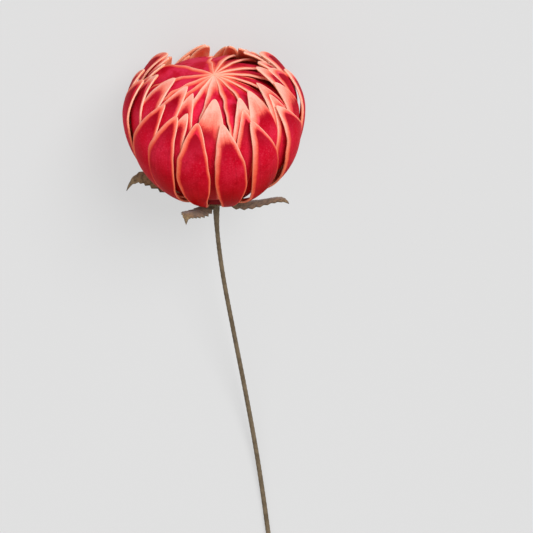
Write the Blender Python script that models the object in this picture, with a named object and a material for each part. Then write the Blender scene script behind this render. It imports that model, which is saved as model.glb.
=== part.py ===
"""A peony flower, cut and laid down on its side: whorls of pointed foam petals round a core, a calyx of five toothed
sepals behind them, and a taped wire stem that comes down to the surface. Lengths are in metres, +Z is up, and the
stem runs back along -Y."""

import math
import random
from dataclasses import dataclass

import bmesh
import bpy
from mathutils import Matrix, Vector

# Driving sizes, in metres
HEAD_RADIUS = 0.050
PETAL_THICKNESS = 0.0012
SEPAL_THICKNESS = 0.0009
STEM_RADIUS = 0.00125
STEM_END_RADIUS = 0.0015
NECK_RADIUS = 0.0024
NECK_LENGTH = 0.026
GAP = 0.0003

# How the globe lies: its apex looks a little above level, and its lowest petal is pressed flat
TILT = math.radians(10)
PRESSED = 0.0005
HEAD_Y = 0.1395

APEX = Vector((0, math.cos(TILT), math.sin(TILT)))
UPPER_SIDE = Vector((0, -math.sin(TILT), math.cos(TILT)))
ACROSS = Vector((1, 0, 0))
HEAD_CENTRE = Vector((0, HEAD_Y, HEAD_RADIUS - PRESSED))

# The stem's middle line behind the globe: across, along Y from the globe's centre, and height
STEM_ROUTE = (
    (0.0005, -0.080, 0.0354),
    (0.0035, -0.112, 0.0288),
    (0.0090, -0.152, 0.0202),
    (0.0155, -0.197, 0.0112),
    (0.0215, -0.240, 0.0050),
    (0.0260, -0.276, 0.0020),
    (0.0300, -0.311, STEM_END_RADIUS),
)
STEM_STEPS = 5
STEM_SIDES = 10
NECK_CURVE = 1.6


@dataclass(frozen=True)
class Whorl:
    """Petals of one kind. Lengths are in head radii, and angles in degrees up from the globe's equator."""

    stands: tuple  # a petal's azimuth, 0 on the upper side, its tip's lean from that and angle, and its breadth
    level: float  # radius of its middle surface
    dome: float  # height of its upper half against its radius
    root: float  # angle of its root
    width: float  # at a breadth of 1, or against the distance from the axis where petals meet at the apex
    taper: float  # angle over which the tip narrows, or 0 where petals meet at the apex
    foot: tuple  # the angle below which its foot narrows, and how fast
    arch: float  # radius of the curve across a petal
    roll: float  # how far one side stands over the other, as a slope at a breadth of 1
    slopes: dict  # for some petals, such a slope of their own
    flare: float  # how far its tips stand off at most
    rows: int
    columns: int


OUTER = Whorl(
    stands=(
        (-83, -5, 41, 1.2), (-56, 12, 43, 1), (-41, 12, 38, 0.98), (-14, 3, 36, 1.02), (14, -7, 36, 0.95),
        (40, -11, 34, 1), (73, -17, 36, 1.25), (87, 23, 36, 1.12), (114, 16, 50, 1.15), (140, 5, 26, 0.85),
        (160, -2, 27, 0.85), (186, -14, 29, 0.9), (218, -30, 32, 1), (228, -7, 22, 0.8), (245, -13, 50, 1.1),
        (258, -5, 38, 1),
    ),
    level=0.992, dome=0.66, root=-80, width=0.385, taper=62, foot=(-8, 4), arch=0.45, roll=0,
    slopes={7: 0.12, 8: 0.40, 9: 0.30, 14: -0.40, 15: -0.15}, flare=0.015, rows=8, columns=4,
)
MIDDLE = Whorl(
    stands=(
        (-63, -25, 50, 1.25), (-48, 11, 61, 1.05), (-36, 14, 40, 0.85), (-10, 12, 54, 1.15), (22, 6, 42, 1.05),
        (35, 9, 55, 1.2), (57, 5, 43, 1), (80, -1, 45, 1.1), (102, -3, 50, 1), (117, 8, 36, 1),
        (148, -4, 42, 0.85), (171, -5, 44, 0.8), (201, -14, 41, 0.85), (226, -10, 28, 0.9), (245, -8, 50, 1),
        (268, 0, 44, 1),
    ),
    level=0.912, dome=0.71, root=-72, width=0.37, taper=62, foot=(-22, 2), arch=0.50, roll=0,
    slopes={8: 0.20, 9: 0.35, 14: -0.30}, flare=0.02, rows=7, columns=2,
)
INNER = Whorl(
    stands=(
        (-62, -2, 59, 1), (-27, 2, 55, 1.05), (22, 7, 50, 1), (62, 0, 54, 1.2), (88, 4, 59, 1.1),
        (110, -3, 56, 1), (133, 3, 58, 1), (155, -3, 50, 1), (182, 0, 15, 1), (207, -6, 24, 1.1),
        (233, -3, 44, 1), (258, -3, 52, 1),
    ),
    level=0.872, dome=0.76, root=-20, width=0.34, taper=62, foot=(-15, 2.3), arch=0.55, roll=0, slopes={},
    flare=0.02, rows=5, columns=2,
)

# The heart's petals meet at the apex. Each shows one margin, at these azimuths, and runs on under the next one's
HEART_MARGINS = (-12, 12, 33, 54, 71, 94, 117, 143, 161, 182, 235, 270, 298, 317, 333)
HEART_TIP = 84
HEART_LAP = 1.24


def heart_stands(width):
    stands = []
    for margin, following in zip(HEART_MARGINS, HEART_MARGINS[1:] + HEART_MARGINS[:1]):
        span = (following - margin) % 360 * HEART_LAP
        stands.append((margin + span / 2, 0, HEART_TIP, math.radians(span) / width))
    return tuple(stands)


HEART_WIDTH = 0.48
HEART = Whorl(
    stands=heart_stands(HEART_WIDTH), level=0.856, dome=0.563, root=12, width=HEART_WIDTH,
    taper=0, foot=(), arch=0.90, roll=-0.27, slopes={}, flare=0, rows=4, columns=2,
)
PETAL_SEED = 7
TIP_POINT = 0.68
FOOT_LEAST = 0.12
TIP_BUNCHING = 1.25
FLARE_POWER = 10

# The spread of what differs from petal to petal
ROLL_SPREAD = 0.08
LIFT_SPREAD = 0.004
POINT_SPREAD = (0.85, 1.15)

# The lower half of the globe is a little deeper than it is wide
DEPTH = 1.05

# A petal dives into the core over this share of its length, by this much at its root
ROOT_SHARE = 0.14
ROOT_DIVE = 0.10

# The core, in head radii: its two halves, the foot that holds the roots, and the bore for the stem
CORE_LOWER = 0.80
CORE_DOME = 0.835
CORE_FOOT = ((0.30, -0.985), (0.46, -0.90))
CORE_LOWER_ANGLES = (-58, -42, -24, -6)
CORE_DOME_ANGLES = (10, 26, 42, 58, 74)
CORE_SIDES = 24
BORE_MOUTH = -1.0
BORE_TOP = -0.76
STEM_TOP = -0.80

# The calyx's cup, in head radii, close under the outer petals
CUP_LEVEL = 1.008
CUP_THICKNESS = 0.02
CUP_EDGE = -72
CUP_TOP = -CUP_LEVEL * DEPTH
CUP_BASE = CUP_TOP - 0.075
CUP_SHOULDER = (0.16, CUP_TOP - 0.045)
CUP_BASE_RADIUS = 0.075
CUP_SIDES = 20

# For each sepal its azimuth, its tip's distance from the globe's axis and height, in head radii, and how far it
# twists on the way to its tip, in degrees
SEPALS = (
    (-95, 1.01, -1.10, 50), (-22, 0.82, -0.96, 10), (53, 1.02, -0.78, 0), (125, 0.98, -0.96, -20),
    (-167, 0.88, -0.76, 0),
)
SEPAL_ROUTE = ((0.14, -1.095), (0.55, -1.07), (0.86, -0.66))
SEPAL_WIDTH = 0.25
SEPAL_START = 0.16
SEPAL_FOLD = 0.25
SEPAL_TEETH = 9
TOOTH_PEAK = 0.7
NOTCH = 0.76


def outward(azimuth):
    turn = math.radians(azimuth)
    return math.sin(turn) * ACROSS + math.cos(turn) * UPPER_SIDE


def sideways(azimuth):
    turn = math.radians(azimuth)
    return math.cos(turn) * ACROSS - math.sin(turn) * UPPER_SIDE


def globe_point(from_axis, azimuth, height):
    """A place given in head radii: away from the globe's axis, towards an azimuth in degrees, and up the axis."""
    return HEAD_CENTRE + HEAD_RADIUS * (from_axis * outward(azimuth) + height * APEX)


def globe_outline(level, angle, dome=1.0):
    """Distance from the axis and height, in head radii, on a globe of this level at an angle from its equator."""
    turn = math.radians(angle)
    return level * math.cos(turn), level * math.sin(turn) * (dome if angle > 0 else DEPTH)


def facing(route, share, azimuth):
    """The outward normal of a surface that follows route(share) = (from axis, height) at an azimuth."""
    below, above = route(share - 0.01), route(share + 0.01)
    slope = math.atan2(above[1] - below[1], above[0] - below[0])
    return math.sin(slope) * outward(azimuth) - math.cos(slope) * APEX


def bezier(points, share):
    """A point on the cubic curve of four control points."""
    rest = 1 - share
    weights = (rest**3, 3 * rest * rest * share, 3 * rest * share * share, share**3)
    return tuple(sum(w * p[axis] for w, p in zip(weights, points)) for axis in (0, 1))


def material(name, colour, roughness):
    made = bpy.data.materials.new(name)
    made.use_nodes = True
    shader = made.node_tree.nodes["Principled BSDF"]
    shader.inputs["Base Color"].default_value = (*colour, 1)
    shader.inputs["Roughness"].default_value = roughness
    shader.inputs["Metallic"].default_value = 0
    return made


def finished(name, bm, look=None):
    """Makes an object of a closed bmesh, with its faces pointing out."""
    bmesh.ops.recalc_face_normals(bm, faces=bm.faces)
    mesh = bpy.data.meshes.new(name)
    bm.to_mesh(mesh)
    bm.free()
    thing = bpy.data.objects.new(name, mesh)
    bpy.context.scene.collection.objects.link(thing)
    if look:
        mesh.materials.append(look)
    return thing


def cover(bm, lower, upper):
    """Triangles between two rows of a blade, with diagonals that mirror about its middle."""
    if len(upper) == 1:
        for left, right in zip(lower, lower[1:]):
            bm.faces.new((left, right, upper[0]))
        return
    for column in range(len(lower) - 1):
        a, b = lower[column], lower[column + 1]
        c, d = upper[column + 1], upper[column]
        if column < (len(lower) - 1) / 2:
            bm.faces.new((a, b, c))
            bm.faces.new((a, c, d))
        else:
            bm.faces.new((a, b, d))
            bm.faces.new((b, c, d))


def blade(name, rows, thickness):
    """A closed leaf of even thickness. Each row holds (middle point, normal) pairs, and the last row is the tip."""
    bm = bmesh.new()
    rims = []
    for side in (0.5, -0.5):
        sheet = [[bm.verts.new(p + n * thickness * side) for p, n in row] for row in rows]
        for lower, upper in zip(sheet, sheet[1:]):
            cover(bm, lower, upper)
        right = [row[-1] for row in sheet[1:]]
        left = [row[0] for row in sheet[-2:0:-1]]
        rims.append(sheet[0] + right + left)
    outer, inner = rims
    for index, start in enumerate(outer):
        after = (index + 1) % len(outer)
        bm.faces.new((start, outer[after], inner[after]))
        bm.faces.new((start, inner[after], inner[index]))
    return finished(name, bm)


def petal_rows(whorl, number, draw):
    """The middle surface of one petal, which follows its whorl's globe with a roll and a level of its own."""
    azimuth, lean, tip, breadth = whorl.stands[number]
    flare = whorl.flare * draw.random()
    roll = whorl.slopes.get(number, whorl.roll / breadth) + draw.uniform(-ROLL_SPREAD, ROLL_SPREAD)
    lift = draw.uniform(-LIFT_SPREAD, LIFT_SPREAD)
    point = TIP_POINT * draw.uniform(*POINT_SPREAD)
    width = whorl.width * breadth

    def route(share):
        dive = ROOT_DIVE * max(0.0, 1 - share / ROOT_SHARE)
        level = whorl.level + lift * share + flare * share**FLARE_POWER - dive
        return globe_outline(level, whorl.root + (tip - whorl.root) * share, whorl.dome)

    rows = []
    for row in range(whorl.rows + 1):
        share = 1 - (1 - row / whorl.rows) ** TIP_BUNCHING
        angle = whorl.root + (tip - whorl.root) * share
        from_axis, height = route(share)
        turned_to = azimuth + lean * share * share
        side = sideways(turned_to)
        normal = facing(route, share, turned_to)
        if whorl.taper:
            to_tip = math.sin(math.pi / 2 * min(1.0, (tip - angle) / whorl.taper)) ** point
            to_foot = math.cos(math.radians(min(angle - whorl.foot[0], 0))) ** whorl.foot[1]
            half = width / 2 * to_tip * (FOOT_LEAST + (1 - FOOT_LEAST) * to_foot)
        else:
            half = width / 2 * from_axis
        centre = globe_point(from_axis, turned_to, height)
        points = []
        for column in range(whorl.columns + 1):
            across = half * (2 * column / whorl.columns - 1)
            drop = across * across / (2 * whorl.arch) - roll * across
            faced = (normal + side * (across / whorl.arch - roll)).normalized()
            points.append((centre + HEAD_RADIUS * (across * side - drop * normal), faced))
        rows.append(points)
    rows[-1] = [rows[-1][whorl.columns // 2]]
    return rows


def petals(name, whorl, draw):
    made = []
    for number in range(len(whorl.stands)):
        rows = petal_rows(whorl, number, draw)
        made.append(blade(f"{name}_{number}", rows, PETAL_THICKNESS))
    return made


def turned(name, outline, sides, look):
    """A closed body turned about the globe's axis from (from axis, height) points, which start or end on the axis or
    run round a ring."""
    bm = bmesh.new()
    rings = []
    for from_axis, height in outline:
        if from_axis == 0:
            rings.append([bm.verts.new(globe_point(0, 0, height))] * sides)
            continue
        turns = [360 * side / sides for side in range(sides)]
        rings.append([bm.verts.new(globe_point(from_axis, turn, height)) for turn in turns])
    bands = list(zip(rings, rings[1:]))
    if outline[0][0]:
        bands.append((rings[-1], rings[0]))
    for lower, upper in bands:
        for side in range(sides):
            after = (side + 1) % sides
            corners = dict.fromkeys((lower[side], lower[after], upper[after], upper[side]))
            bm.faces.new(tuple(corners))
    return finished(name, bm, look)


def apply_modifiers(thing):
    depsgraph = bpy.context.evaluated_depsgraph_get()
    mesh = bpy.data.meshes.new_from_object(thing.evaluated_get(depsgraph))
    thing.modifiers.clear()
    thing.data = mesh


def fuse(body, parts):
    """Joins parts to body in one solid, without the hollows that the union seals."""
    group = bpy.data.collections.new(body.name + "_parts")
    for part in parts:
        group.objects.link(part)
    union = body.modifiers.new("union", "BOOLEAN")
    union.operation = "UNION"
    union.operand_type = "COLLECTION"
    union.collection = group
    union.solver = "MANIFOLD"
    apply_modifiers(body)
    for part in parts:
        bpy.data.objects.remove(part)
    bpy.data.collections.remove(group)
    keep_largest_shell(body)


def keep_largest_shell(thing):
    bm = bmesh.new()
    bm.from_mesh(thing.data)
    left = set(bm.faces)
    shells = []
    while left:
        shell, waiting = [], [left.pop()]
        while waiting:
            face = waiting.pop()
            shell.append(face)
            near = {other for edge in face.edges for other in edge.link_faces} & left
            left -= near
            waiting.extend(near)
        shells.append(shell)
    shells.sort(key=len)
    loose = [face for shell in shells[:-1] for face in shell]
    bmesh.ops.delete(bm, geom=loose, context="FACES")
    bm.to_mesh(thing.data)
    bm.free()


def press_flat(thing):
    """Cuts off what reaches below the surface that the flower lies on."""
    bm = bmesh.new()
    bmesh.ops.create_cube(bm, size=2 * HEAD_RADIUS, matrix=Matrix.Translation((0, HEAD_Y, -HEAD_RADIUS)))
    block = finished("surface", bm)
    cut = thing.modifiers.new("press", "BOOLEAN")
    cut.operation = "DIFFERENCE"
    cut.object = block
    cut.solver = "MANIFOLD"
    apply_modifiers(thing)
    bpy.data.objects.remove(block)


def core_outline():
    bore = (STEM_RADIUS + GAP) / HEAD_RADIUS
    outline = [(0, BORE_TOP), (bore, BORE_TOP), (bore, BORE_MOUTH), *CORE_FOOT]
    outline += [globe_outline(CORE_LOWER, angle) for angle in CORE_LOWER_ANGLES]
    outline += [globe_outline(CORE_DOME, angle, HEART.dome) for angle in CORE_DOME_ANGLES]
    return [*outline, (0, CORE_DOME * HEART.dome)]


def bloom():
    look = material("petal foam", (0.55, 0.01, 0.03), 0.55)
    draw = random.Random(PETAL_SEED)
    body = turned("bloom", core_outline(), CORE_SIDES, look)
    parts = petals("outer", OUTER, draw)
    parts += petals("middle", MIDDLE, draw)
    parts += petals("inner", INNER, draw)
    parts += petals("heart", HEART, draw)
    fuse(body, parts)
    press_flat(body)


def twisted(side, normal, degrees):
    """Both directions turned about the line that is square to them."""
    turn = math.radians(degrees)
    return math.cos(turn) * side + math.sin(turn) * normal, math.cos(turn) * normal - math.sin(turn) * side


def sepal_rows(azimuth, tip_out, tip_up, twist):
    """The middle surface of a sepal: it hugs the globe, stands off to its tip, and is toothed along both sides."""

    def route(share):
        return bezier((*SEPAL_ROUTE, (tip_out, tip_up)), share)

    stations = [(0, NOTCH)]
    for tooth in range(SEPAL_TEETH):
        stations.append(((tooth + TOOTH_PEAK) / SEPAL_TEETH, 1))
        stations.append(((tooth + 1) / SEPAL_TEETH, NOTCH))
    rows = []
    for share, reach in stations:
        side, normal = twisted(sideways(azimuth), facing(route, share, azimuth), twist * share)
        fullness = math.sin(math.pi * (SEPAL_START + (1 - SEPAL_START) * share) ** 0.9)
        half = SEPAL_WIDTH / 2 * fullness * reach
        from_axis, height = route(share)
        centre = globe_point(from_axis, azimuth, height)
        points = []
        for across in (-half, 0, half):
            point = centre + HEAD_RADIUS * (across * side + abs(across) * SEPAL_FOLD * normal)
            point.z = max(point.z, SEPAL_THICKNESS / 2 + GAP)
            points.append((point, normal))
        rows.append(points)
    rows[-1] = [rows[-1][1]]
    return rows


def calyx():
    look = material("sepal felt", (0.11, 0.09, 0.05), 0.8)
    hole = (STEM_RADIUS + GAP) / HEAD_RADIUS
    inner_edge = globe_outline(CUP_LEVEL, CUP_EDGE)
    outer_edge = globe_outline(CUP_LEVEL + CUP_THICKNESS, CUP_EDGE)
    outline = [
        (hole, CUP_TOP), inner_edge, outer_edge, CUP_SHOULDER, (CUP_BASE_RADIUS, CUP_BASE), (hole, CUP_BASE)
    ]
    body = turned("calyx", outline, CUP_SIDES, look)
    sepals = [blade(f"sepal_{n}", sepal_rows(*sepal), SEPAL_THICKNESS) for n, sepal in enumerate(SEPALS)]
    fuse(body, sepals)


def smooth_route(points, steps):
    """Points on a Catmull-Rom curve through the route's own."""
    ends = [2 * points[0] - points[1], *points, 2 * points[-1] - points[-2]]
    route = []
    for a, b, c, d in zip(ends, ends[1:], ends[2:], ends[3:]):
        for step in range(steps):
            t = step / steps
            bend = 2 * a - 5 * b + 4 * c - d
            turn = 3 * b - a - 3 * c + d
            route.append(0.5 * (2 * b + (c - a) * t + bend * t**2 + turn * t**3))
    return [*route, points[-1]]


def tube(name, rings, sides, look):
    """A closed tube through (centre, direction, radius) rings, with a flat side down."""
    bm = bmesh.new()
    loops = []
    for centre, along, radius in rings:
        right = along.cross(Vector((0, 0, 1))).normalized()
        above = right.cross(along).normalized()
        turns = [2 * math.pi * (side + 0.5) / sides - math.pi / 2 for side in range(sides)]
        loops.append([bm.verts.new(centre + radius * (math.cos(a) * right + math.sin(a) * above)) for a in turns])
    for lower, upper in zip(loops, loops[1:]):
        for side in range(sides):
            after = (side + 1) % sides
            bm.faces.new((lower[side], lower[after], upper[after], upper[side]))
    bm.faces.new(loops[0])
    bm.faces.new(loops[-1])
    return finished(name, bm, look)


def stem():
    """The wire runs slim from the core through the cup, starts again wide under it and narrows down its neck."""
    look = material("stem tape", (0.10, 0.08, 0.055), 0.75)
    under_cup = globe_point(0, 0, CUP_BASE) - GAP * APEX
    route = smooth_route([under_cup, *(Vector((x, HEAD_Y + y, z)) for x, y, z in STEM_ROUTE)], STEM_STEPS)
    whole = sum((b - a).length for a, b in zip(route, route[1:]))
    rings = [(globe_point(0, 0, STEM_TOP), -APEX, STEM_RADIUS), (under_cup, -APEX, STEM_RADIUS)]
    walked = 0.0
    for index, point in enumerate(route):
        before = route[max(index - 1, 0)]
        after = route[min(index + 1, len(route) - 1)]
        along = (after - before).normalized() if index else -APEX
        walked += (point - before).length
        neck = max(0.0, 1 - walked / NECK_LENGTH) ** NECK_CURVE
        radius = STEM_RADIUS + (STEM_END_RADIUS - STEM_RADIUS) * walked / whole
        rings.append((point, along, radius + (NECK_RADIUS - STEM_RADIUS) * neck))
    tube("stem", rings, STEM_SIDES, look)


def main():
    for thing in list(bpy.data.objects):
        bpy.data.objects.remove(thing)
    bloom()
    calyx()
    stem()


main()
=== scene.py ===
"""The looks of a peony flower that lies on its side: soft foam petals sprayed from crimson to peach at
their margins, felt sepals and a stem wound with brown tape. The petals follow the same globe, the same
values and the same draws as the solids, at a finer pitch and with round cut edges. Lengths are in metres,
and in head radii or in millimetres where it says so."""

import math
import random
from dataclasses import dataclass

import bpy
from mathutils import Matrix, Vector


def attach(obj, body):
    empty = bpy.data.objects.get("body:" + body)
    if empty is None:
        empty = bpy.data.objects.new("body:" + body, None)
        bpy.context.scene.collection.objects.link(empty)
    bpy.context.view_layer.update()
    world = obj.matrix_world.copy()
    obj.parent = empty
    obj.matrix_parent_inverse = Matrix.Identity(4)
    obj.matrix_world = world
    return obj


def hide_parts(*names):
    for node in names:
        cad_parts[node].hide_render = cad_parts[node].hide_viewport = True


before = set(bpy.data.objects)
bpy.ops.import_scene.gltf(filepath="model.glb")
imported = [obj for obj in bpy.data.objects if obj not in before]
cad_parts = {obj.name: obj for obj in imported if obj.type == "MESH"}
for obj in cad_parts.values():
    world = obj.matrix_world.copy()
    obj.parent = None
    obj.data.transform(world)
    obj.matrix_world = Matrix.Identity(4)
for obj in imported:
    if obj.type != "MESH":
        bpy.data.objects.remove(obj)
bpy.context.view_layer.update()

MM = 0.001

# Driving sizes
HEAD_RADIUS = 0.050
PETAL_THICKNESS = 0.0012
SEPAL_THICKNESS = 0.0006
STEM_RADIUS = 0.00125
STEM_END_RADIUS = 0.0015
NECK_RADIUS = 0.0024
NECK_LENGTH = 0.026
GAP = 0.0003

# How the globe lies
TILT = math.radians(10)
PRESSED = 0.0005
HEAD_Y = 0.1395
APEX = Vector((0, math.cos(TILT), math.sin(TILT)))
UPPER_SIDE = Vector((0, -math.sin(TILT), math.cos(TILT)))
ACROSS = Vector((1, 0, 0))
HEAD_CENTRE = Vector((0, HEAD_Y, HEAD_RADIUS - PRESSED))


@dataclass(frozen=True)
class Whorl:
    """Petals of one kind. Lengths are in head radii, and angles in degrees up from the globe's equator.

    Each petal stands at an azimuth, 0 on the upper side. Its tip leans from that and ends at an angle. Its
    breadth comes last.
    """

    stands: tuple
    level: float  # radius of its middle surface
    dome: float  # height of its upper half against its radius
    root: float  # angle of its root
    width: float  # at a breadth of 1, or against the distance from the axis where petals meet at the apex
    taper: float  # angle over which the tip narrows, or 0 where petals meet at the apex
    foot: tuple  # the angle below which its foot narrows, and how fast
    arch: float  # radius of the curve across a petal
    roll: float  # how far one side stands over the other, as a slope at a breadth of 1
    slopes: dict  # for some petals, such a slope of their own
    flare: float  # how far its tips stand off at most
    pale: dict  # for some petals, how many millimetres their pale tips reach down
    pale_tip: float  # the same for the rest
    band: float  # how wide the pale margins are, in millimetres
    cream: float  # how strong the cream line of its cut edges is
    dusk: float  # how strong the dark tongue in its middle is
    light: float  # how far its margins turn from orange to peach at least


OUTER = Whorl(
    stands=(
        (-83, -5, 41, 1.2), (-56, 12, 43, 1), (-41, 12, 38, 0.98), (-14, 3, 36, 1.02),
        (14, -7, 36, 0.95), (40, -11, 34, 1), (73, -17, 36, 1.25), (87, 23, 36, 1.12),
        (114, 16, 50, 1.15), (140, 5, 26, 0.85), (160, -2, 27, 0.85), (186, -14, 29, 0.9),
        (218, -30, 32, 1), (228, -7, 22, 0.8), (245, -13, 50, 1.1), (258, -5, 38, 1),
    ),
    level=0.992, dome=0.66, root=-80, width=0.385, taper=62, foot=(-8, 4), arch=0.45, roll=0,
    slopes={7: 0.12, 8: 0.40, 9: 0.30, 14: -0.40, 15: -0.15}, flare=0.015,
    pale={0: 4, 1: 5, 2: 5, 3: 4, 4: 15, 5: 7, 6: 9, 7: 10}, pale_tip=6,
    band=2.2, cream=0.85, dusk=0.85, light=0.45,
)
MIDDLE = Whorl(
    stands=(
        (-63, -25, 50, 1.25), (-48, 11, 61, 1.05), (-36, 14, 40, 0.85), (-10, 12, 54, 1.15),
        (22, 6, 42, 1.05), (35, 9, 55, 1.2), (57, 5, 43, 1), (80, -1, 45, 1.1),
        (102, -3, 50, 1), (117, 8, 36, 1), (148, -4, 42, 0.85), (171, -5, 44, 0.8),
        (201, -14, 41, 0.85), (226, -10, 28, 0.9), (245, -8, 50, 1), (268, 0, 44, 1),
    ),
    level=0.912, dome=0.71, root=-72, width=0.37, taper=62, foot=(-22, 2), arch=0.50, roll=0,
    slopes={8: 0.20, 9: 0.35, 14: -0.30}, flare=0.02,
    pale={0: 8, 1: 8, 2: 9, 3: 22, 4: 6, 5: 20, 6: 11, 7: 21}, pale_tip=7,
    band=2.1, cream=0.85, dusk=0.85, light=0.75,
)
INNER = Whorl(
    stands=(
        (-62, -2, 59, 1), (-27, 2, 55, 1.05), (22, 7, 50, 1), (62, 0, 54, 1.2),
        (88, 4, 59, 1.1), (110, -3, 56, 1), (133, 3, 58, 1), (155, -3, 50, 1),
        (182, 0, 15, 1), (207, -6, 24, 1.1), (233, -3, 44, 1), (258, -3, 52, 1),
    ),
    level=0.872, dome=0.76, root=-20, width=0.34, taper=62, foot=(-15, 2.3), arch=0.55, roll=0,
    slopes={}, flare=0.02,
    pale={0: 13, 1: 10, 2: 14, 3: 13, 4: 12}, pale_tip=8,
    band=2.4, cream=0.75, dusk=0.7, light=0.95,
)

# The heart's petals meet at the apex. Each shows one margin, at one of these azimuths, and reaches from
# there until it is under the next petal.
HEART_MARGINS = (-12, 12, 33, 54, 71, 94, 117, 143, 161, 182, 235, 270, 298, 317, 333)
HEART_TIP = 90
HEART_LAP = 1.24
HEART_WIDTH = 0.48


def heart_stands():
    stands = []
    for margin, following in zip(HEART_MARGINS, HEART_MARGINS[1:] + HEART_MARGINS[:1]):
        span = (following - margin) % 360 * HEART_LAP
        stands.append((margin + span / 2, 0, HEART_TIP, math.radians(span) / HEART_WIDTH))
    return tuple(stands)


HEART = Whorl(
    stands=heart_stands(),
    level=0.856, dome=0.563, root=12, width=HEART_WIDTH, taper=0, foot=(), arch=0.90, roll=-0.27,
    slopes={}, flare=0,
    pale={0: 15, 14: 8, 13: 4, 1: 6, 2: 5}, pale_tip=1.5,
    band=2.1, cream=0.7, dusk=0.15, light=0.46,
)

# What the petals share with the solids: their small differences, their outline and how their roots dive
PETAL_SEED = 7
ROLL_SPREAD = 0.08
LIFT_SPREAD = 0.004
TIP_POINT = 0.68
POINT_SPREAD = (0.85, 1.15)
DEPTH = 1.05
ROOT_SHARE = 0.14
ROOT_DIVE = 0.10
FLARE_POWER = 10
FOOT_LEAST = 0.12

# The petals' finer mesh: its rows, bunched towards the tip, its stations from the middle to the edge, how
# far in from its edges it is rounded, and the least height of its points
PETAL_ROWS = 46
TIP_BUNCHING = 1.25
ACROSS_HALF = (0, 0.15, 0.30, 0.46, 0.62, 0.74, 0.84, 0.91, 0.955, 0.985, 1)
STATIONS = (*(-station for station in reversed(ACROSS_HALF[1:])), *ACROSS_HALF)
EDGE_ROUND = 0.55 * MM
LOWEST_PETAL = 0.02 * MM

# The share of a route's length, below and above a place, over which its slope is taken
SLOPE_REACH = 0.01

# Each side's edge waves in and out, and curls outwards a little between these shares of the way from the
# middle to the edge and from the root to the tip
WAVES_PER_SIDE = 3
WAVE_SIZE = (0.5, 1)
WAVE_PITCH = (1, 7)
WAVE_START = (0, 6.3)
WAVE_TURN = 6.28
WAVE_DEPTH = 0.015
HEART_WAVE_DEPTH = 0.055
EDGE_CURL = 0.45 * MM
CURL_SPREAD = (0.2, 1)
CURL_ACROSS = (2 / 3, 1)
CURL_ALONG = (0.1, 0.6)

# The pale margins: how far they reach in from the sides and the tip, which side's is wider, the line of the
# cut edge, and how long a pale tip is where the margins begin to be lighter and where they are lightest
COLOUR_SEED = 23
PALE_SPREAD = (0.7, 1.3)
SIDE_BIAS = (0.15, 0.55)
BAND_GROWTH = (0.42, 0.98)
LEAST_BAND = 0.35
SIDE_FADE = 1.4
TIP_FADE = 2.2
LEAST_FADE = 1e-4
FADE_POWER = 2.5
RIM = 0.6 * MM
LIT = (5 * MM, 8 * MM)

# The dark tongue: where it begins below the tip and how far down it widens, in degrees, its width against
# the petal's, how much wider it is between dark margins, and over how many degrees it fades. A long pale tip
# pushes it down and aside, and widens the margin on the other side.
TONGUE_TOP = (5, 11)
TONGUE_LENGTH = 15
TONGUE_WIDTH = 0.88
TONGUE_SPREAD = 0.35
DUSK_LENGTH = 36
LONG_PALE = 18 * MM
LONG_PALE_TONGUE = 0.62
LONG_PALE_SIDE = 0.35
LONG_PALE_BIAS = 2.4

# The angles between which the petals' colours change from the deep lower part to the light upper part
# The deeper lower part is partly the foam's own colour and partly painted shade of the bloom's lower side
SPRAY_AND_SHADE_FROM = -78
SPRAY_AND_SHADE_TO = 38

# The core and the cup, in head radii and in degrees up from the equator, and the cup's soft edge in metres
CORE_LOWER = 0.80
CORE_LOWER_ANGLES = range(-58, 0, 5)
CORE_DOME = 0.835
CORE_DOME_ANGLES = range(0, 90, 6)
CORE_FOOT = ((0.30, -0.985), (0.46, -0.90))
CUP_LEVEL = 1.008
CUP_THICKNESS = 0.02
CUP_EDGE = -72
CUP_RINGS = 6
CUP_TOP = -CUP_LEVEL * DEPTH
CUP_BASE = CUP_TOP - 0.075
CUP_SHOULDER = (0.16, CUP_TOP - 0.045)
CUP_BASE_RADIUS = 0.075
CUP_BEVEL = 0.0003
TURNED_SIDES = 64

# The sepals: azimuth, the tip's distance from the axis and height in head radii, and its twist in degrees
SEPALS = (
    (-95, 1.01, -1.10, 50), (-22, 0.82, -0.96, 10), (53, 1.02, -0.78, 0), (125, 0.98, -0.96, -20),
    (-167, 0.88, -0.76, 0),
)

# Their route from the cup to the tip, their width, fold and teeth, and how thick their edges are
SEPAL_ROUTE = ((0.14, -1.095), (0.55, -1.07), (0.86, -0.66))
SEPAL_WIDTH = 0.25
SEPAL_START = 0.16
SEPAL_FULLNESS = 0.9
SEPAL_FOLD = 0.25
SEPAL_TEETH = 9
TOOTH_PEAK = 0.7
TOOTH_ROWS = 10
NOTCH = 0.76
SEPAL_STATIONS = (-1, -0.93, -0.8, -0.6, -0.4, -0.2, -0.08, 0, 0.08, 0.2, 0.4, 0.6, 0.8, 0.93, 1)
SEPAL_EDGE = 0.35

# The sepals' pressed veins: the middle rib, and one side rib to each tooth
VEIN_RELIEF = 0.00018
RIB_WIDTH = 0.09
RIB_FALL = 0.6
SIDE_RIB_SLANT = 1.1
SIDE_RIB_WIDTH = 0.14
SIDE_RIB_STRENGTH = 0.6
SIDE_RIB_FADE = 3

# The sepals' dark rim: how strong it is, and from where to where across it deepens
SEPAL_RIM = 0.6
SEPAL_RIM_ACROSS = (0.875, 1)

# The stem's middle line behind the globe: across, along Y from the globe's centre, and height
STEM_ROUTE = (
    (0.0005, -0.080, 0.0354),
    (0.0035, -0.112, 0.0288),
    (0.0090, -0.152, 0.0202),
    (0.0155, -0.197, 0.0112),
    (0.0215, -0.240, 0.0050),
    (0.0260, -0.276, 0.0020),
    (0.0300, -0.311, STEM_END_RADIUS),
)

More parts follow.
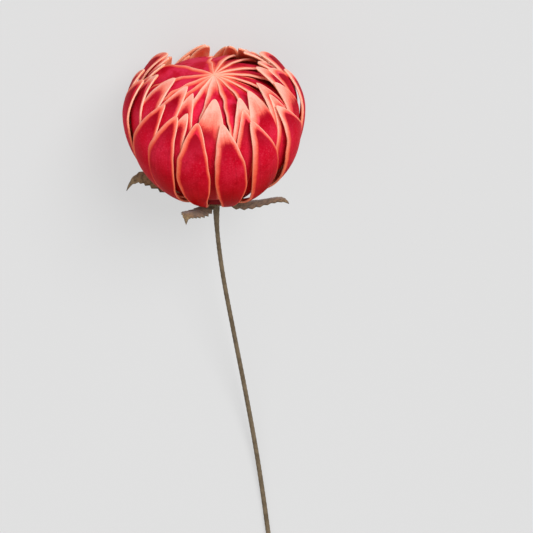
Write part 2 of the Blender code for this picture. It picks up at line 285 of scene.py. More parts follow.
# Its steps from one of these points to the next, its sides, how its neck narrows, and its least height
STEM_STEPS = 90
STEM_SIDES = 28
NECK_CURVE = 1.6
LOWEST_TAPE = 0.05 * MM

# The tape is wound at this pitch. Where a turn laps the last one, a step rises over a share of the turn and
# falls again over the rest, and pressing leaves a part of its height. The cut ends are in between.
TAPE_PITCH = 0.0042
TAPE_STEP = 0.00016
TAPE_RISE = 1 / 6
TAPE_PRESSED = 0.9
END_RIDGE = 0.5

# The floor, the lamps by direction, strength and angle of softness, and the light all round
FLOOR_REACH = 8
FLOOR_GLOW = 0.54
KEY_LAMP = ((0.42, 0.66, 0.80), 2.5, 30)
FILL_LAMP = ((-0.40, -0.10, 1.0), 0.6, 70)
ROOM_LIGHT = 0.32

# The camera, which holds the bloom where the photograph has it
FRAME_SIDE = 533
BLOOM_AT = (214.5, 113)
BLOOM_RADIUS_PX = 91.5
CAMERA_ANGLE = math.radians(37)
CAMERA_DISTANCE = 1.2
SENSOR = 36


def srgb(red, green, blue):
    """A colour given in eight-bit steps, as the shader's linear one."""
    linear = []
    for step in (red, green, blue):
        share = step / 255
        linear.append(share / 12.92 if share <= 0.04045 else ((share + 0.055) / 1.055) ** 2.4)
    return (*linear, 1)


# The red, the blush and the cream line of the petals, low on the bloom and high on it
# The deeper red low on the bloom is partly the foam's own and partly painted shade
RED = (srgb(176, 0, 4), srgb(220, 14, 46))
BLUSH = (srgb(226, 56, 96), srgb(240, 110, 120))
CREAM = (srgb(252, 138, 102), srgb(255, 206, 180))

# The heart's mauve and the dark tongues, each in two shades, and the inner faces, at the edge and within
MAUVE = (srgb(188, 8, 38), srgb(224, 52, 90))
DUSK = (srgb(126, 0, 4), srgb(154, 8, 28))
INSIDE = (srgb(255, 172, 132), srgb(250, 122, 84))

# The margins, from a petal's edge to where they end
LOW_MARGIN = (
    (0.0, srgb(252, 122, 86)),
    (0.35, srgb(246, 88, 62)),
    (1.0, srgb(208, 26, 30)),
)
HIGH_MARGIN = (
    (0.0, srgb(252, 182, 164)),
    (0.35, srgb(248, 138, 118)),
    (0.65, srgb(240, 98, 84)),
    (1.0, srgb(218, 54, 58)),
)


@dataclass(frozen=True)
class Fleck:
    """A pattern in the petals' red: where in a noise it begins and is full, and how strong it is there.

    Where it has two colours, they are the one low on the bloom and the one high on it.
    """

    noise: str
    begins: float
    full: float
    strength: float
    colours: tuple


FLECKS = (
    # The first fleck's pale pink patches are painted sheen; the rest are the foam's own grain, streaks and
    # blotches
    Fleck("cloud", 0.40, 0.66, 0.60, (srgb(202, 6, 12), srgb(238, 50, 82))),
    Fleck("grain", 0.50, 0.72, 0.40, (srgb(216, 28, 34), srgb(240, 84, 106))),
    Fleck("grain", 0.48, 0.26, 0.34, (srgb(136, 0, 8),)),
    Fleck("streak", 0.50, 0.25, 0.30, (srgb(150, 0, 8),)),
    Fleck("blotch", 0.48, 0.30, 0.30, (srgb(152, 0, 10),)),
)

# How far each noise, above or below its middle, frays the edge of the pale margins and of the dark tongue
NOISE_MIDDLE = 0.5
MARGIN_FRAY = {"streak": 0.45, "blotch": 0.75, "grain": 0.45}
TONGUE_FRAY = {"blotch": 0.6, "streak": 0.4}

# Where the foam changes on its way up the bloom, as shares of the way between the spray and shade angles
PINKER = (0.35, 0.80)
MAUVER = (0.90, 1.15)
BLUSHING = (0.50, 0.85)
BLUSH_PALES = (0.75, 1.0)
PEACHY = (0.50, 0.95)

# Where the foam changes on its way in from an edge: of the margins, and of the dark tongue
MARGIN_ENDS = (0.48, 1.20)
INSIDE_DEEPENS = (0.2, 1.6)
TONGUE_DARKENS = (0.0, -0.14)
BLUSH_BEGINS = (-0.10, 0.20)

# How strong the blush and the mauve are, how light the margins are where the blush shows, and where in the
# blotches the mauve turns from one shade to the other
BLUSH_STRENGTH = 0.85
BLUSH_LIGHT = (0.35, 1.0)
MAUVE_STRENGTH = 0.60
MAUVE_PATCHES = (0.40, 0.60)

# How bright the darkest petal is, and how much brighter the brightest one is
DARKEST_TONE = 0.94
TONE_SPREAD = 0.12

# How often the streaks change across a petal, along it and from one petal to the next, and their relief
STREAKS = (6.0, 2.5, 90.0)
STREAK_RELIEF = 1.6

# The core, the cloth of the sepals with its fibres, veins and rim, the tape with its crinkles and the
# painted shade at its laps, and the floor
# The core's red is kept deep partly as painted shade where it shows between the petals
CORE_RED = (srgb(120, 8, 16), srgb(156, 14, 28))
CLOTH = (srgb(92, 71, 49), srgb(151, 124, 88))
FIBRE = srgb(158, 136, 102)
VEIN = srgb(160, 136, 100)
VEIN_STRENGTH = 0.40
VEIN_BUMP = 1.5
CLOTH_RIM = srgb(60, 52, 38)
PAPER = (srgb(84, 70, 52), srgb(116, 100, 78))
CRINKLE = srgb(146, 128, 102)
LAP_SHADE = srgb(58, 47, 34)
FLOOR_GREY = (srgb(120, 120, 120), srgb(123, 123, 123))
WHITE = srgb(255, 255, 255)

# The Mix node's colour sockets, which share their names with its sockets of other kinds
MIX_FIRST = 6
MIX_SECOND = 7
MIX_RESULT = 2


def smooth(value, low=0.0, high=1.0):
    """A smooth step from 0 at low to 1 at high."""
    share = min(1.0, max(0.0, (value - low) / (high - low)))
    return share * share * (3 - 2 * share)


def outward(azimuth):
    turn = math.radians(azimuth)
    return math.sin(turn) * ACROSS + math.cos(turn) * UPPER_SIDE


def sideways(azimuth):
    turn = math.radians(azimuth)
    return math.cos(turn) * ACROSS - math.sin(turn) * UPPER_SIDE


def globe_point(from_axis, azimuth, height):
    """A place, in head radii away from the globe's axis, towards an azimuth in degrees, and up the axis."""
    return HEAD_CENTRE + HEAD_RADIUS * (from_axis * outward(azimuth) + height * APEX)


def globe_outline(level, angle, dome=1.0):
    """Distance from the axis and height, in head radii, at an angle up from the equator of a globe."""
    turn = math.radians(angle)
    return level * math.cos(turn), level * math.sin(turn) * (dome if angle > 0 else DEPTH)


def facing(route, share, azimuth):
    """The outward normal of a surface that follows route(share) = (from axis, height) at an azimuth."""
    below, above = route(share - SLOPE_REACH), route(share + SLOPE_REACH)
    slope = math.atan2(above[1] - below[1], above[0] - below[0])
    return math.sin(slope) * outward(azimuth) - math.cos(slope) * APEX


def bezier(points, share):
    """A point on the cubic curve of four control points."""
    rest = 1 - share
    weights = (rest**3, 3 * rest * rest * share, 3 * rest * share * share, share**3)
    return tuple(sum(w * p[axis] for w, p in zip(weights, points)) for axis in (0, 1))


class Mesh:
    """Collects points with named values, and faces, and makes one object of them."""

    def __init__(self, *names):
        self.points = []
        self.faces = []
        self.values = {name: [] for name in names}

    def point(self, place, **values):
        self.points.append(place)
        for name, kept in self.values.items():
            kept.append(values.get(name, 0.0))
        return len(self.points) - 1

    def band(self, lower, upper):
        """Faces between two rows of points, which may share their ends."""
        for a, b, c, d in zip(lower, lower[1:], upper[1:], upper):
            corners = tuple(dict.fromkeys((a, b, c, d)))
            if len(corners) > 2:
                self.faces.append(corners)

    def sheet(self, rows):
        """Faces all round a thin sheet that ends in a point, from its rows of outer and inner points."""
        for (outer, inner), (outer_up, inner_up) in zip(rows, rows[1:]):
            if len(outer_up) == 1:
                outer_up = outer_up * len(outer)
                inner_up = inner_up * len(inner)
            self.band(outer, outer_up)
            self.band(inner_up, inner)
            self.band([outer[-1], inner[-1]], [outer_up[-1], inner_up[-1]])
            self.band([inner[0], outer[0]], [inner_up[0], outer_up[0]])
        root_outer, root_inner = rows[0]
        self.band(root_inner, root_outer)

    def keep_above(self, lowest):
        for index, place in enumerate(self.points):
            if place.z < lowest:
                self.points[index] = Vector((place.x, place.y, lowest))

    def finish(self, name, look, slot, *nodes):
        mesh = bpy.data.meshes.new(name)
        mesh.from_pydata([tuple(p) for p in self.points], [], self.faces)
        for value, kept in self.values.items():
            mesh.attributes.new(value, "FLOAT", "POINT").data.foreach_set("value", kept)
        mesh.materials.append(look)
        mesh.shade_smooth()
        mesh.update()
        thing = bpy.data.objects.new(name, mesh)
        bpy.context.scene.collection.objects.link(thing)
        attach(thing, "root")
        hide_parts(*nodes)
        return thing


def tongue_half(below_top):
    """Half the width of a petal's dark tongue against the petal's own, some degrees below its top."""
    share = below_top / TONGUE_LENGTH
    return TONGUE_WIDTH * (math.sqrt(min(share, 1.0)) if share > 0 else share)


class Petal:
    """One petal: an even foam sheet with round edges, and the values from which its colours are made."""

    def __init__(self, whorl, number, draw, tint):
        """Draws the petal's shape in the solids' order, and then its waves and colours."""
        self.whorl = whorl
        self.azimuth, self.lean, self.tip, breadth = whorl.stands[number]
        self.flare = whorl.flare * draw.random()
        slope = whorl.slopes.get(number, whorl.roll / breadth)
        self.roll = slope + draw.uniform(-ROLL_SPREAD, ROLL_SPREAD)
        self.lift = draw.uniform(-LIFT_SPREAD, LIFT_SPREAD)
        self.point = TIP_POINT * draw.uniform(*POINT_SPREAD)
        self.width = whorl.width * breadth

        self.tone = tint.random()
        self.bias = tint.uniform(*SIDE_BIAS)
        self.curl = tint.uniform(*CURL_SPREAD) * EDGE_CURL
        self.wave_depth = WAVE_DEPTH if whorl.taper else HEART_WAVE_DEPTH
        self.left_waves = self.draw_waves(tint)
        self.right_waves = self.draw_waves(tint)
        drawn_pale = whorl.pale_tip * tint.uniform(*PALE_SPREAD)
        self.pale = whorl.pale.get(number, drawn_pale) * MM
        self.light = whorl.light + (1 - whorl.light) * smooth(self.pale, *LIT)
        self.tongue_top = tint.uniform(*TONGUE_TOP)
        self.tongue_at = 0
        if self.pale > LONG_PALE:
            self.tongue_top = math.degrees(LONG_PALE_TONGUE * self.pale / (whorl.level * HEAD_RADIUS))
            self.tongue_at = math.copysign(LONG_PALE_SIDE, self.azimuth)
            self.bias = math.copysign(LONG_PALE_BIAS, self.azimuth)

    @staticmethod
    def draw_waves(tint):
        spreads = (WAVE_SIZE, WAVE_PITCH, WAVE_START)
        return [tuple(tint.uniform(*spread) for spread in spreads) for _ in range(WAVES_PER_SIDE)]

    def wave(self, station, share):
        """How far the edge on this side lies in or out, as a factor."""
        waves = self.left_waves if station < 0 else self.right_waves
        heights = (size * math.sin(pitch * WAVE_TURN * share + start) for size, pitch, start in waves)
        return 1 + self.wave_depth * sum(heights)

    def angle(self, share):
        return self.whorl.root + (self.tip - self.whorl.root) * share

    def route(self, share):
        """Distance from the axis and height of its middle line, in head radii, at a share of its length."""
        dive = ROOT_DIVE * max(0.0, 1 - share / ROOT_SHARE)
        level = self.whorl.level + self.lift * share + self.flare * share**FLARE_POWER - dive
        return globe_outline(level, self.angle(share), self.whorl.dome)

    def half_width(self, angle, from_axis):
        if not self.whorl.taper:
            return self.width / 2 * from_axis
        to_tip = math.sin(math.pi / 2 * min(1.0, (self.tip - angle) / self.whorl.taper)) ** self.point
        foot_angle, foot_power = self.whorl.foot
        to_foot = math.cos(math.radians(min(angle - foot_angle, 0))) ** foot_power
        return self.width / 2 * to_tip * (FOOT_LEAST + (1 - FOOT_LEAST) * to_foot)

    def colours(self, share, station, from_side, from_tip):
        """The values that foam() reads, at a point that lies this far from the petal's side and tip."""
        angle = self.angle(share)
        band = self.whorl.band * MM * (BAND_GROWTH[0] + BAND_GROWTH[1] * smooth(share))
        band *= max(1 - self.bias * station, LEAST_BAND)
        near_side = max((from_side / band) ** SIDE_FADE, LEAST_FADE)
        near_tip = max((from_tip / max(self.pale, band)) ** TIP_FADE, LEAST_FADE)
        below_top = self.tip - angle - self.tongue_top
        spread = TONGUE_SPREAD * (1 - self.light)
        return {
            "fade": (near_side**-FADE_POWER + near_tip**-FADE_POWER) ** (-1 / FADE_POWER),
            "rim": self.whorl.cream * smooth(1 - min(from_side, from_tip) / RIM),
            "tongue": abs(station - self.tongue_at) - tongue_half(below_top) - spread,
            "dusk": self.whorl.dusk * smooth(1 - below_top / DUSK_LENGTH),
            "light": self.light,
            "along": (angle - SPRAY_AND_SHADE_FROM) / (SPRAY_AND_SHADE_TO - SPRAY_AND_SHADE_FROM),
            "across": station,
            "tone": self.tone,
        }

    def row(self, mesh, number):
        """Adds a row of points, and gives the outer face's and the inner's, which meet at the edges."""
        whorl = self.whorl
        share = 1 - (1 - number / PETAL_ROWS) ** TIP_BUNCHING
        angle = self.angle(share)
        from_axis, height = self.route(share)
        azimuth = self.azimuth + self.lean * share * share
        side = sideways(azimuth)
        normal = facing(self.route, share, azimuth)
        centre = globe_point(from_axis, azimuth, height)
        half = self.half_width(angle, from_axis)
        from_tip = math.radians(self.tip - angle) * whorl.level * HEAD_RADIUS
        outer, inner = [], []
        for station in STATIONS if number < PETAL_ROWS else (0,):
            reach = half * self.wave(station, share)
            across = reach * station
            from_side = (1 - abs(station)) * reach * HEAD_RADIUS
            edge = min(1.0, from_side / EDGE_ROUND)
            half_thick = PETAL_THICKNESS / 2 * math.sqrt(1 - (1 - edge) ** 2)
            drop = across * across / (2 * whorl.arch) - self.roll * across
            place = centre + HEAD_RADIUS * (across * side - drop * normal)
            place += normal * self.curl * smooth(abs(station), *CURL_ACROSS) * smooth(share, *CURL_ALONG)
            faced = (normal + side * (across / whorl.arch - self.roll)).normalized()
            values = self.colours(share, station, from_side, from_tip)
            outer.append(mesh.point(place + faced * half_thick, inside=0, **values))
            if abs(station) < 1 and number < PETAL_ROWS:
                inner.append(mesh.point(place - faced * half_thick, inside=1, **values))
            else:
                inner.append(outer[-1])
        return outer, inner


def petals(name, whorl, draw, tint, look):
    mesh = Mesh("fade", "rim", "tongue", "dusk", "light", "along", "across", "tone", "inside")
    for number in range(len(whorl.stands)):
        petal = Petal(whorl, number, draw, tint)
        mesh.sheet([petal.row(mesh, row) for row in range(PETAL_ROWS + 1)])
    mesh.keep_above(LOWEST_PETAL)
    mesh.finish(name, look, "petals", "bloom")


class Look:
    """A material under construction: small calls that add nodes and give back sockets."""

    def __init__(self, name):
        self.material = bpy.data.materials.new(name)
        self.material.use_nodes = True
        self.tree = self.material.node_tree
        self.shader = self.tree.nodes["Principled BSDF"]

    def node(self, kind, **settings):
        made = self.tree.nodes.new("ShaderNode" + kind)
        for name, value in settings.items():
            setattr(made, name, value)
        return made

    def put(self, socket, value):
        if isinstance(value, bpy.types.NodeSocket):
            self.tree.links.new(value, socket)
        else:
            socket.default_value = value

    def value(self, name):
        return self.node("Attribute", attribute_name=name).outputs["Fac"]

    def place(self):
        return self.node("TexCoord").outputs["Object"]

    def math(self, operation, a, b=0.0, c=0.0):
        made = self.node("Math", operation=operation)
        for socket, value in zip(made.inputs, (a, b, c)):
            self.put(socket, value)
        return made.outputs[0]

    def step(self, value, low, high, out_low=0.0, out_high=1.0):
        """A smooth step from out_low at low to out_high at high."""
        made = self.node("MapRange", interpolation_type="SMOOTHSTEP")
        for name, given in (("Value", value), ("From Min", low), ("From Max", high)):
            self.put(made.inputs[name], given)
        self.put(made.inputs["To Min"], out_low)
        self.put(made.inputs["To Max"], out_high)
        return made.outputs["Result"]

    def noise(self, vector, scale, detail=2.0, roughness=0.5):
        made = self.node("TexNoise")
        self.put(made.inputs["Vector"], vector)
        self.put(made.inputs["Scale"], scale)
        self.put(made.inputs["Detail"], detail)
        self.put(made.inputs["Roughness"], roughness)
        return made.outputs["Fac"]

    def vector(self, x, y, z):
        made = self.node("CombineXYZ")
        for socket, value in zip(made.inputs, (x, y, z)):
            self.put(socket, value)
        return made.outputs[0]

    def mix(self, factor, a, b):
        made = self.node("Mix", data_type="RGBA")
        self.put(made.inputs["Factor"], factor)
        self.put(made.inputs[MIX_FIRST], a)
        self.put(made.inputs[MIX_SECOND], b)
        return made.outputs[MIX_RESULT]

    def ramp(self, factor, stops):
        made = self.node("ValToRGB")
        elements = made.color_ramp.elements
        elements[0].position, elements[0].color = stops[0]
        elements[1].position, elements[1].color = stops[-1]
        for position, colour in stops[1:-1]:
            elements.new(position).color = colour
        self.put(made.inputs["Fac"], factor)
        return made.outputs["Color"]

    def frayed(self, value, noises, depths):
        """A value moved up and down by some of the noises, each to its own depth."""
        for name, depth in depths.items():
            offset = self.math("SUBTRACT", noises[name], NOISE_MIDDLE)
            value = self.math("MULTIPLY_ADD", offset, depth, value)
        return value

    def bump(self, height, distance, strength):
        made = self.node("Bump")
        self.put(made.inputs["Height"], height)
        self.put(made.inputs["Distance"], distance)
        self.put(made.inputs["Strength"], strength)
        self.put(self.shader.inputs["Normal"], made.outputs["Normal"])

    def set(self, **sockets):
        for name, value in sockets.items():
            self.put(self.shader.inputs[name.replace("_", " ")], value)


def foam_noises(look, along, tone):
    """Soft clouds for the painted sheen, blotches and fine grain in space, and streaks that run along each
    petal.
    """
    place = look.place()
    ways = (look.value("across"), along, tone)
    strand = look.vector(*(look.math("MULTIPLY", way, often) for way, often in zip(ways, STREAKS)))
    return {
        "cloud": look.noise(place, scale=60, detail=2),
        "blotch": look.noise(place, scale=130, detail=3),
        "grain": look.noise(place, scale=1100, detail=3, roughness=0.65),
        "streak": look.noise(strand, scale=1.0, detail=3, roughness=0.6),
    }


def flecked_red(look, noises, along):
    """The red of the petals' faces, pinker higher up with patches of painted sheen, and partly mauve in the
    heart.
    """
    upper = look.step(along, *PINKER)
    red = look.mix(upper, *RED)
    for fleck in FLECKS:
        amount = look.step(noises[fleck.noise], fleck.begins, fleck.full, out_high=fleck.strength)
        colour = look.mix(upper, *fleck.colours) if len(fleck.colours) == 2 else fleck.colours[0]
        red = look.mix(amount, red, colour)
    mauve = look.mix(look.step(noises["blotch"], *MAUVE_PATCHES), *MAUVE)
    return look.mix(look.step(along, *MAUVER, out_high=MAUVE_STRENGTH), red, mauve)


def tongued_red(look, red, noises, along, tone):
    """The red with each petal's dark tongue, and a blush beside the tongue where the margins are light."""
    tongue = look.frayed(look.value("tongue"), noises, TONGUE_FRAY)
    dark = look.math("MULTIPLY", look.step(tongue, *TONGUE_DARKENS), look.value("dusk"))
    red = look.mix(dark, red, look.mix(tone, *DUSK))
    height = look.step(along, *BLUSHING, out_high=BLUSH_STRENGTH)
    blush = look.math("MULTIPLY", look.step(tongue, *BLUSH_BEGINS), height)
    blush = look.math("MULTIPLY", blush, look.step(look.value("light"), *BLUSH_LIGHT))
    return look.mix(blush, red, look.mix(look.step(along, *BLUSH_PALES), *BLUSH))


def sprayed(look, red, noises, along):
    """The margins over the red, orange low on the bloom and peach high on it, and the cream cut edges."""
    ragged = look.frayed(look.value("fade"), noises, MARGIN_FRAY)
    high = look.step(along, *PEACHY)
    lit = look.math("MULTIPLY", high, look.value("light"))
    margin = look.mix(lit, look.ramp(ragged, LOW_MARGIN), look.ramp(ragged, HIGH_MARGIN))
    colour = look.mix(look.step(ragged, *MARGIN_ENDS), margin, red)
    colour = look.mix(look.value("rim"), colour, look.mix(high, *CREAM))
    inside = look.mix(look.step(ragged, *INSIDE_DEEPENS), *INSIDE)
    return look.mix(look.value("inside"), colour, inside)


def foam():
    """Petal foam: red, deep at the root partly as painted shade, pinker above with painted sheen, and
    margins sprayed orange and peach.
    """
    look = Look("petal_foam")
    tone = look.value("tone")
    along = look.value("along")
    noises = foam_noises(look, along, tone)
    red = flecked_red(look, noises, along)
    red = tongued_red(look, red, noises, along, tone)
    toned = look.node("HueSaturation")
    look.put(toned.inputs["Value"], look.math("MULTIPLY_ADD", tone, TONE_SPREAD, DARKEST_TONE))
    look.put(toned.inputs["Color"], sprayed(look, red, noises, along))
    look.set(
        Base_Color=toned.outputs["Color"],
        Roughness=look.step(noises["grain"], 0.2, 0.8, out_low=0.44, out_high=0.58),
        Specular_IOR_Level=0.02,
    )
    relief = look.math("MULTIPLY_ADD", noises["streak"], STREAK_RELIEF, noises["grain"])
    look.bump(relief, distance=0.12 * MM, strength=0.5)
    return look.material


def core_foam():
    """The core's foam: plain deep red, darkened partly as painted shade where it shows in the gaps between
    petals, coarser than the petals'.
    """
    look = Look("core_foam")
    place = look.place()
    shade = look.noise(place, scale=240, detail=3)
    look.set(
        Base_Color=look.mix(shade, *CORE_RED),
        Roughness=look.step(shade, 0.3, 0.7, out_low=0.7, out_high=0.85),
        Specular_IOR_Level=0.2,
    )
    look.bump(look.noise(place, scale=900, detail=2), distance=0.2 * MM, strength=0.6)
    return look.material


def felt():
    """Sepal cloth: olive brown, mottled, with paler pressed veins."""
    look = Look("sepal_felt")
    place = look.place()
    blotch = look.noise(place, scale=420, detail=4, roughness=0.65)
    fibre = look.noise(place, scale=1800, detail=3, roughness=0.7)
    vein = look.value("vein")
    cloth = look.mix(look.step(blotch, 0.38, 0.60), *CLOTH)
    cloth = look.mix(look.step(fibre, 0.40, 0.65, out_high=0.5), cloth, FIBRE)
    cloth = look.mix(look.math("MULTIPLY", vein, VEIN_STRENGTH), cloth, VEIN)
    cloth = look.mix(look.value("rim"), cloth, CLOTH_RIM)
    look.set(
        Base_Color=cloth,
        Roughness=look.step(fibre, 0.2, 0.8, out_low=0.75, out_high=0.92),
        Specular_IOR_Level=0.2,
        Sheen_Weight=0.2,
        Sheen_Roughness=0.6,
    )
    look.bump(look.math("MULTIPLY_ADD", vein, VEIN_BUMP, fibre), distance=0.15 * MM, strength=0.7)
    return look.material


def paper_tape():
    """Stem tape: crinkled brown paper wound at a slant, with painted shade at the foot of each lap's ridge.
    """
    look = Look("stem_tape")
    place = look.place()
    blotch = look.noise(place, scale=180, detail=3)
    crinkle = look.noise(place, scale=3000, detail=3, roughness=0.65)
    ridge = look.value("ridge")
    paper = look.mix(look.step(blotch, 0.3, 0.7), *PAPER)
    paper = look.mix(look.step(crinkle, 0.35, 0.75, out_high=0.4), paper, CRINKLE)
    # Painted shade in the crease where each turn of the tape steps up over the last
    paper = look.mix(look.step(ridge, 0.25, 0.0, out_high=0.5), paper, LAP_SHADE)
    look.set(
        Base_Color=paper,
        Roughness=look.step(crinkle, 0.2, 0.8, out_low=0.62, out_high=0.8),
        Specular_IOR_Level=0.3,
    )
    look.bump(crinkle, distance=0.1 * MM, strength=0.7)
    return look.material


def turned(name, outline, look, slot, node):
    """A body turned about the globe's axis from (from axis, height) points in head radii."""
    mesh = Mesh()
    rings = []
    for from_axis, height in outline:
        if from_axis == 0:
            rings.append([mesh.point(globe_point(0, 0, height))] * (TURNED_SIDES + 1))
            continue
        azimuths = (360 * side / TURNED_SIDES for side in range(TURNED_SIDES))
        ring = [mesh.point(globe_point(from_axis, azimuth, height)) for azimuth in azimuths]
        rings.append([*ring, ring[0]])
    for lower, upper in zip(rings, rings[1:]):
        mesh.band(lower, upper)
    return mesh.finish(name, look, slot, node)


def core(look):
    lower = [globe_outline(CORE_LOWER, angle) for angle in CORE_LOWER_ANGLES]
    upper = [globe_outline(CORE_DOME, angle, HEART.dome) for angle in CORE_DOME_ANGLES]
    outline = [(0, CORE_FOOT[0][1]), *CORE_FOOT, *lower, *upper, (0, CORE_DOME * HEART.dome)]
    turned("core", outline, look, "petals", "bloom")


def cup(look):
    """The cup that holds the sepals: a thin dish close under the outer petals, with a hole for the stem."""
    hole = (STEM_RADIUS + GAP) / HEAD_RADIUS
    angles = (-90 + (CUP_EDGE + 90) * ring / CUP_RINGS for ring in range(1, CUP_RINGS + 1))
    dish = [globe_outline(CUP_LEVEL, angle) for angle in angles]
    edge = globe_outline(CUP_LEVEL + CUP_THICKNESS, CUP_EDGE)
    base = ((CUP_BASE_RADIUS, CUP_BASE), (hole, CUP_BASE))
    outline = [(hole, CUP_TOP), *dish, edge, CUP_SHOULDER, *base, (hole, CUP_TOP)]
    bevel = turned("calyx_cup", outline, look, "sepals", "calyx").modifiers.new("soft edges", "BEVEL")
    bevel.width = CUP_BEVEL
    bevel.segments = 2


def twisted(side, normal, degrees):
    """Both directions turned about the line that is square to them."""
    turn = math.radians(degrees)
    return math.cos(turn) * side + math.sin(turn) * normal, math.cos(turn) * normal - math.sin(turn) * side


def sepal_half_width(share):
    """Half a sepal's width in head radii: full at a tooth's point, and NOTCH of that between two teeth."""
    fullness = math.sin(math.pi * (SEPAL_START + (1 - SEPAL_START) * share) ** SEPAL_FULLNESS)
    tooth = share * SEPAL_TEETH % 1
    if tooth < TOOTH_PEAK:
        toothed = NOTCH + (1 - NOTCH) * (tooth / TOOTH_PEAK)
    else:
        toothed = 1 - (1 - NOTCH) * (tooth - TOOTH_PEAK) / (1 - TOOTH_PEAK)
    return SEPAL_WIDTH / 2 * fullness * toothed


def vein_height(share, station):
    """How far a vein stands out: 1 at the middle rib's foot, less on the side ribs, and near 0 between."""
    rib = math.exp(-((abs(station) / RIB_WIDTH) ** 2)) * (1 - RIB_FALL * share)
    slant = share * SEPAL_TEETH - SIDE_RIB_SLANT * abs(station)
    from_side_rib = (slant % 1 - 0.5) / SIDE_RIB_WIDTH
    side_rib = math.exp(-(from_side_rib**2)) * SIDE_RIB_STRENGTH * (1 - abs(station) ** SIDE_RIB_FADE)
    return max(rib, side_rib)


def sepal_row(mesh, share, stations, azimuth, tip, twist):
    """Adds a row of points of a sepal, folded at its middle, and gives the outer ones and the inner ones."""

    def route(at):
        return bezier((*SEPAL_ROUTE, tip), at)

    side, normal = twisted(sideways(azimuth), facing(route, share, azimuth), twist * share)
    from_axis, height = route(share)
    centre = globe_point(from_axis, azimuth, height)
    half = sepal_half_width(share)
    outer, inner = [], []
    for station in stations:
        across = half * station
        vein = vein_height(share, station)
        relief = VEIN_RELIEF * vein
        thick = SEPAL_THICKNESS / 2 * (1 if abs(station) < 1 else SEPAL_EDGE)
        place = centre + HEAD_RADIUS * (across * side + abs(across) * SEPAL_FOLD * normal)
        place.z = max(place.z, SEPAL_THICKNESS / 2 + GAP)
        values = {"vein": vein, "rim": smooth(abs(station), *SEPAL_RIM_ACROSS) * SEPAL_RIM}
        outer.append(mesh.point(place + normal * (thick + relief), **values))
        inner.append(mesh.point(place - normal * (thick - relief), **values))
    return outer, inner


def sepals(look):
    mesh = Mesh("vein", "rim")
    last = SEPAL_TEETH * TOOTH_ROWS
    for azimuth, tip_out, tip_up, twist in SEPALS:
        rows = []
        for number in range(last + 1):
            stations = SEPAL_STATIONS if number < last else (0,)
            rows.append(sepal_row(mesh, number / last, stations, azimuth, (tip_out, tip_up), twist))
        mesh.sheet(rows)
    mesh.finish("sepals", look, "sepals", "calyx")


def smooth_route(points, steps):
    """Points on a Catmull-Rom curve through the route's own."""
    ends = [2 * points[0] - points[1], *points, 2 * points[-1] - points[-2]]
    route = []
    for a, b, c, d in zip(ends, ends[1:], ends[2:], ends[3:]):
        for step in range(steps):
            t = step / steps
            bend = 2 * a - 5 * b + 4 * c - d
            turn = 3 * b - a - 3 * c + d
            route.append(0.5 * (2 * b + (c - a) * t + bend * t**2 + turn * t**3))
    return [*route, points[-1]]


def stem_radius(walked, whole):
    """The stem's radius without the tape's ridges, this far from the cup: thick at the neck, then slim."""
    neck = max(0.0, 1 - walked / NECK_LENGTH) ** NECK_CURVE
    wire = STEM_RADIUS + (STEM_END_RADIUS - STEM_RADIUS) * walked / whole
    return wire + (NECK_RADIUS - STEM_RADIUS) * neck - TAPE_STEP / 2


def stem_ring(mesh, centre, along, walked, radius):
    """Adds a ring of points round the stem, raised where the tape laps."""
    right = along.cross(Vector((0, 0, 1))).normalized()
    above = right.cross(along).normalized()
    ring = []
    for number in range(STEM_SIDES):
        angle = 2 * math.pi * number / STEM_SIDES
        turn = (walked / TAPE_PITCH + number / STEM_SIDES) % 1
        ridge = smooth(turn, 0, TAPE_RISE)
        lapped = radius + TAPE_STEP * (ridge - turn) * TAPE_PRESSED
        place = centre + lapped * (math.cos(angle) * right + math.sin(angle) * above)
        place.z = max(place.z, LOWEST_TAPE)
        ring.append(mesh.point(place, ridge=ridge))
    return [*ring, ring[0]]


def stem(look):
    """The taped wire from under the cup to its cut end, with the tape's slanted ridges."""
    under_cup = globe_point(0, 0, CUP_BASE) - GAP * APEX
    route = smooth_route([under_cup, *(Vector((x, HEAD_Y + y, z)) for x, y, z in STEM_ROUTE)], STEM_STEPS)
    whole = sum((after - before).length for before, after in zip(route, route[1:]))
    mesh = Mesh("ridge")
    walked = 0.0
    rings = []
    for index, point in enumerate(route):
        before = route[max(index - 1, 0)]
        after = route[min(index + 1, len(route) - 1)]
        along = (after - before).normalized() if index else -APEX
        walked += (point - before).length
        rings.append(stem_ring(mesh, point, along, walked, stem_radius(walked, whole)))
    for lower, upper in zip(rings, rings[1:]):
        mesh.band(lower, upper)
    for ring, place in ((rings[0], route[0]), (rings[-1], route[-1])):
        middle = mesh.point(place, ridge=END_RIDGE)
        mesh.band(ring, [middle] * len(ring))
    mesh.finish("stem_tape", look, "stem", "stem")


def backdrop():
    """A plain pale floor with an even glow."""
    look = Look("floor")
    look.set(
        Base_Color=look.mix(look.noise(look.place(), scale=3), *FLOOR_GREY),
        Roughness=0.9,
        Specular_IOR_Level=0.1,
        Emission_Color=WHITE,
        Emission_Strength=FLOOR_GLOW,
    )
    mesh = bpy.data.meshes.new("floor")
    corners = [(FLOOR_REACH * x, FLOOR_REACH * y, 0) for x, y in ((-1, -1), (1, -1), (1, 1), (-1, 1))]
    mesh.from_pydata(corners, [], [(0, 1, 2, 3)])
    mesh.materials.append(look.material)
    floor = bpy.data.objects.new("floor", mesh)
    bpy.context.scene.collection.objects.link(floor)


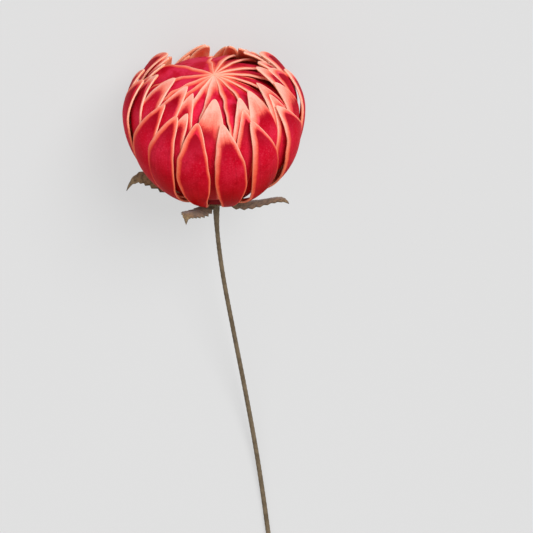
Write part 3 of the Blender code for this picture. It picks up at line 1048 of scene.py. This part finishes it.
def lamp(name, direction, strength, softness):
    """Soft light that comes from a direction."""
    data = bpy.data.lights.new(name, "SUN")
    data.energy = strength
    data.angle = math.radians(softness)
    thing = bpy.data.objects.new(name, data)
    bpy.context.scene.collection.objects.link(thing)
    thing.rotation_mode = "QUATERNION"
    thing.rotation_quaternion = (-Vector(direction).normalized()).to_track_quat("-Z", "Y")


def lights():
    lamp("key", *KEY_LAMP)
    lamp("fill", *FILL_LAMP)
    world = bpy.data.worlds.new("studio")
    world.use_nodes = True
    background = world.node_tree.nodes["Background"]
    background.inputs["Color"].default_value = WHITE
    background.inputs["Strength"].default_value = ROOM_LIGHT
    bpy.context.scene.world = world
    bpy.context.scene.view_settings.view_transform = "Standard"


def camera():
    """Looks down on the bloom from its upper side, at the photograph's angle and framing."""
    back = math.cos(CAMERA_ANGLE) * UPPER_SIDE + math.sin(CAMERA_ANGLE) * APEX
    up = math.cos(CAMERA_ANGLE) * APEX - math.sin(CAMERA_ANGLE) * UPPER_SIDE
    right = up.cross(back)
    per_pixel = HEAD_RADIUS / BLOOM_RADIUS_PX
    data = bpy.data.cameras.new("camera")
    data.sensor_width = SENSOR
    data.lens = SENSOR * CAMERA_DISTANCE / (FRAME_SIDE * per_pixel)
    thing = bpy.data.objects.new("camera", data)
    bpy.context.scene.collection.objects.link(thing)
    aside = FRAME_SIDE / 2 - BLOOM_AT[0]
    below = FRAME_SIDE / 2 - BLOOM_AT[1]
    target = HEAD_CENTRE + right * aside * per_pixel - up * below * per_pixel
    place = Matrix.Translation(target + back * CAMERA_DISTANCE)
    thing.matrix_world = place @ Matrix((right, up, back)).transposed().to_4x4()
    bpy.context.scene.camera = thing


def main():
    draw = random.Random(PETAL_SEED)
    tint = random.Random(COLOUR_SEED)
    petal_foam = foam()
    petals("outer_petals", OUTER, draw, tint, petal_foam)
    petals("middle_petals", MIDDLE, draw, tint, petal_foam)
    petals("inner_petals", INNER, draw, tint, petal_foam)
    petals("heart_petals", HEART, draw, tint, petal_foam)
    core(core_foam())
    sepal_felt = felt()
    cup(sepal_felt)
    sepals(sepal_felt)
    stem(paper_tape())
    backdrop()
    lights()
    camera()


main()
